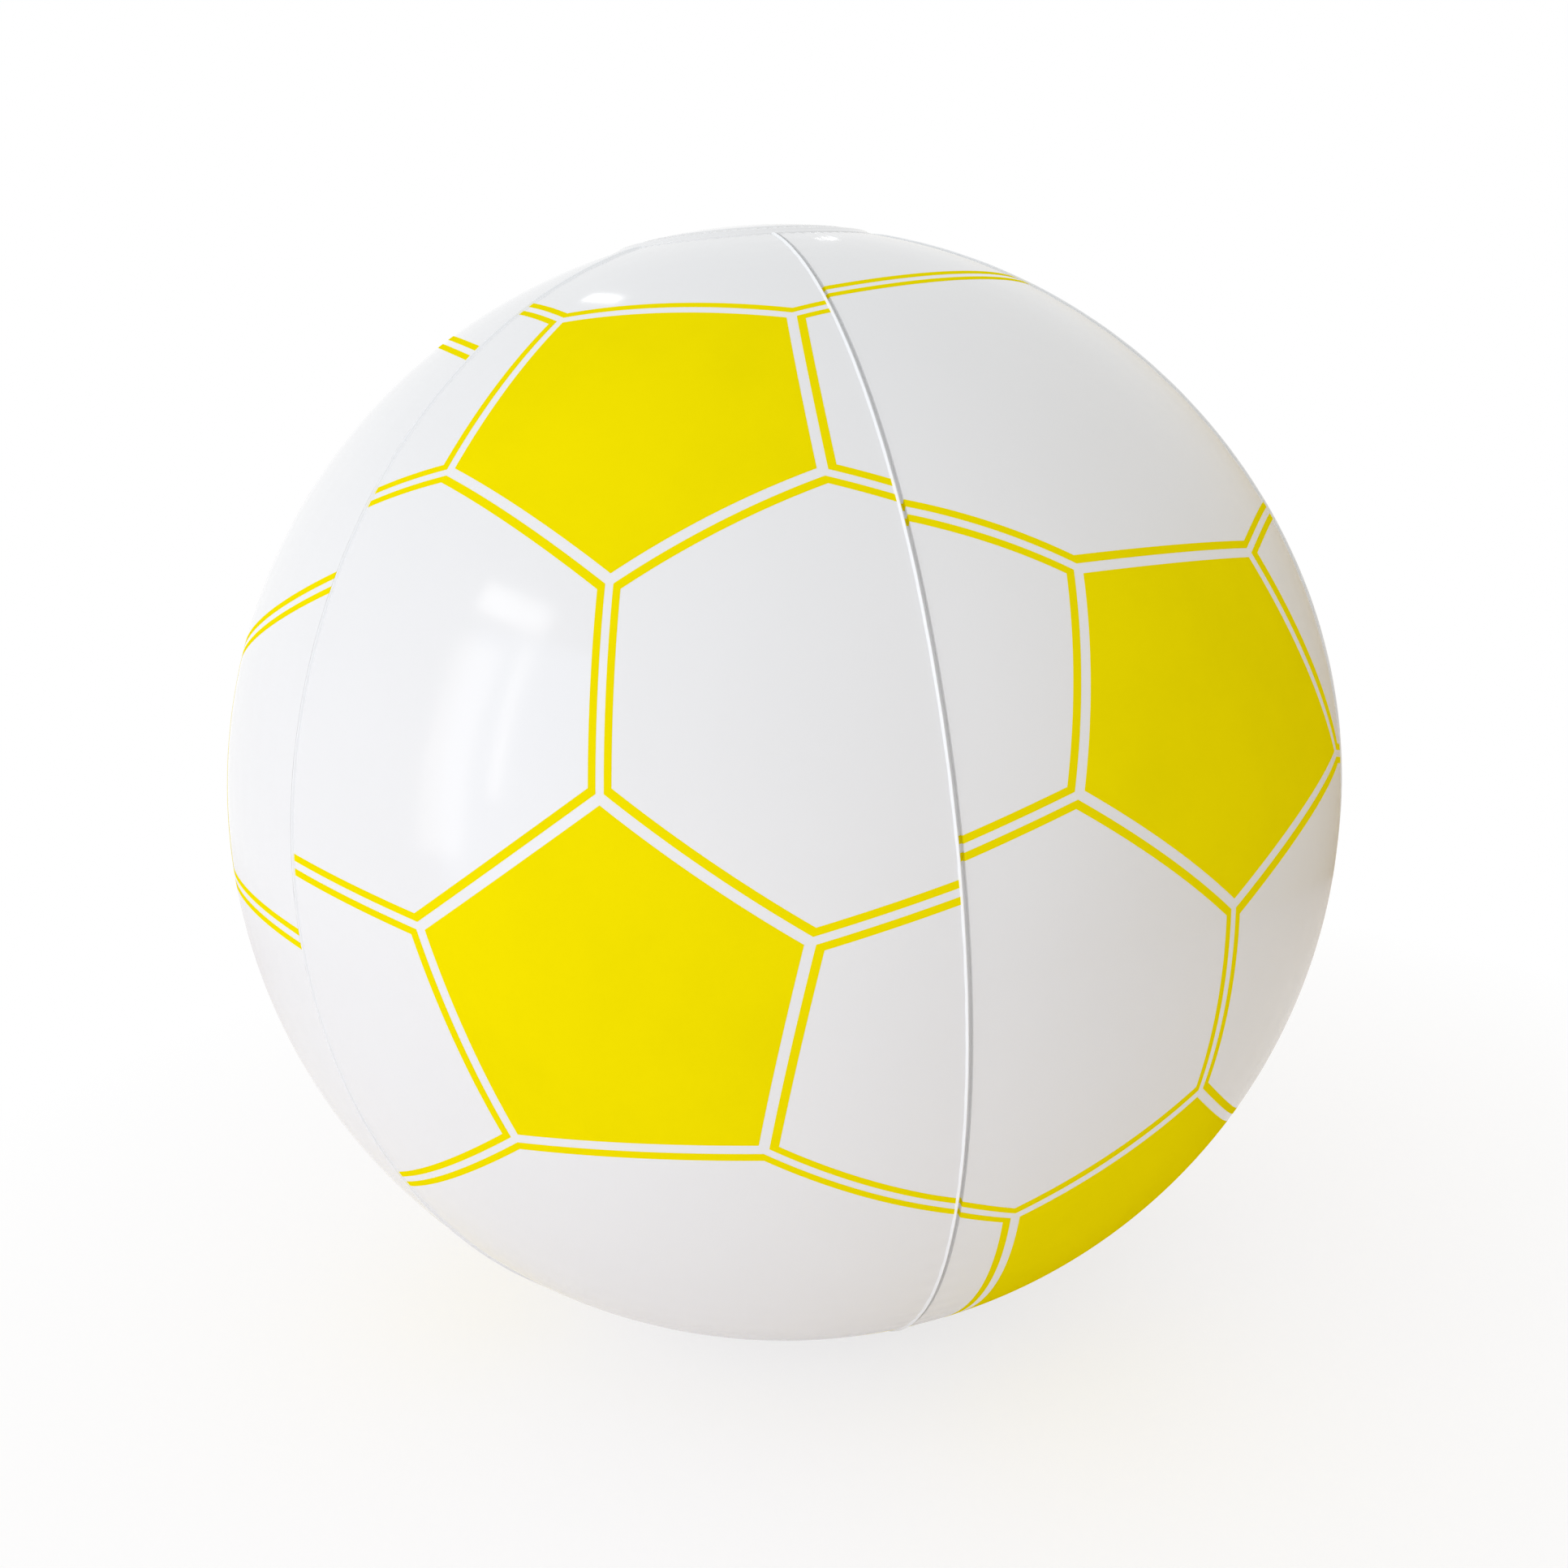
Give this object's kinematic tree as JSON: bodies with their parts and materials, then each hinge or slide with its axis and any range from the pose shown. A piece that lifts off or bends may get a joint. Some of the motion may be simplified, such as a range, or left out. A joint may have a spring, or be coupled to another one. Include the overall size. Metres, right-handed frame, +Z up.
{
  "type": "inflatable beach ball",
  "caption": "Inflatable film beach ball with a football print, raised weld beads along its seams, round end caps and a push-in valve with a plug on a strap.",
  "frame": {"origin": "middle of the flat patch under the lower end cap that the ball rests on", "axes": "+Z up through both end caps, -Y out of the middle of the front panel, the valve panel at +Y"},
  "size_m": [0.3014, 0.3, 0.3007],
  "materials": {
    "film_white": "glossy soft PVC film, printed on the outside",
    "print_yellow": "glossy yellow ink on the film",
    "weld_white": "glossy bare PVC squeezed out along the weld",
    "valve_moulding": "soft milky PVC moulding, half gloss"
  },
  "bodies": {
    "ball": {"panel_1": "film_white", "panel_2": "film_white", "panel_3": "film_white", "panel_4": "film_white", "panel_5": "film_white", "panel_6": "film_white", "weld_bead_1": "weld_white", "weld_bead_2": "weld_white", "weld_bead_3": "weld_white", "weld_bead_4": "weld_white", "weld_bead_5": "weld_white", "weld_bead_6": "weld_white", "end_cap_upper": "film_white", "end_cap_lower": "film_white", "valve_flange": "valve_moulding", "valve_collar": "valve_moulding"},
    "stem": {"valve_stem": "valve_moulding"},
    "plug": {"valve_plug": "valve_moulding", "valve_strap": "valve_moulding"},
    "flap": {"valve_flap": "valve_moulding"}
  },
  "joints": [
    {"name": "stem_slide", "type": "slide", "parent": "ball", "child": "stem", "axis": [0, 0.7193, 0.6947], "range_m": [0, 0.009]},
    {"name": "plug_swing", "type": "hinge", "parent": "stem", "child": "plug", "pos_m": [0, 0.11593, 0.24925], "axis": [-1, 0, 0], "range_deg": [0, 150]},
    {"name": "flap_swing", "type": "hinge", "parent": "stem", "child": "flap", "pos_m": [0, 0.09898, 0.23942], "axis": [1, 0, 0], "range_deg": [0, 60], "stiffness_Nm_per_rad": 0.00002, "springref_deg": -5.73}
  ]
}
